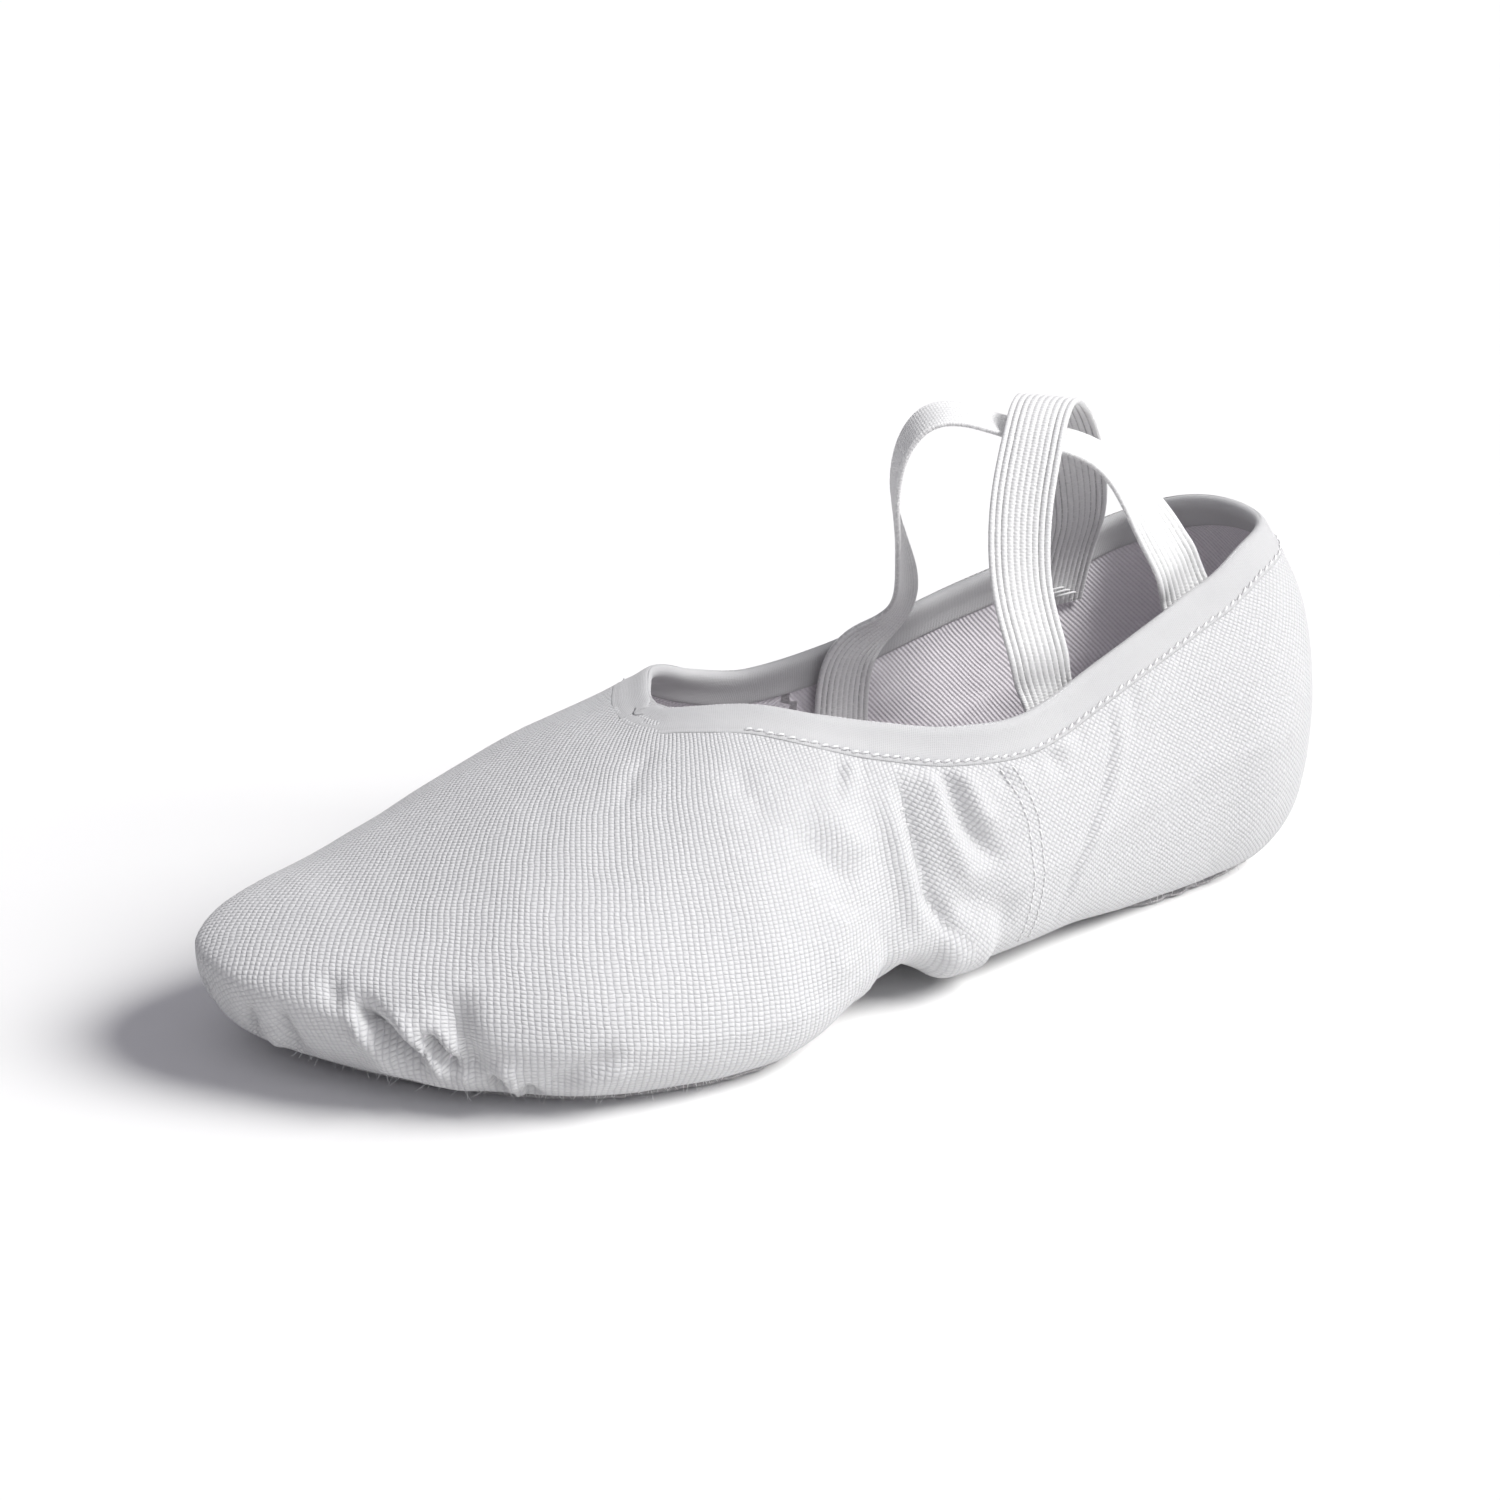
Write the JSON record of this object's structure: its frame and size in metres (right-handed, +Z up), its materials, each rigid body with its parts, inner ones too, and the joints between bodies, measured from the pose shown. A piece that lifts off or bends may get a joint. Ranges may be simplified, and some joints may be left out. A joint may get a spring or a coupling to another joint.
{
  "type": "ballet shoe",
  "caption": "Left canvas split-sole ballet shoe: soft rounded toe, low bound collar, sueded sole pads under ball and heel, and crossed elastic straps over the instep.",
  "frame": {"origin": "middle of the shoe's box on the floor it stands on", "axes": "+Y towards the heel, +X towards the shoe's outer (lateral) side, +Z up"},
  "size_m": [0.0976, 0.25, 0.1091],
  "materials": {
    "canvas": "matte plain-weave cotton canvas",
    "tape": "matte cotton tape",
    "elastic": "ribbed woven elastic",
    "suede": "napped suede",
    "lining": "matte cotton lining"
  },
  "bodies": {
    "root": {"upper": "canvas", "collar_binding": "tape", "elastic_strap_over": "elastic", "elastic_strap_under": "elastic", "forefoot_outsole": "suede", "heel_outsole": "suede", "insole": "lining"}
  },
  "joints": []
}
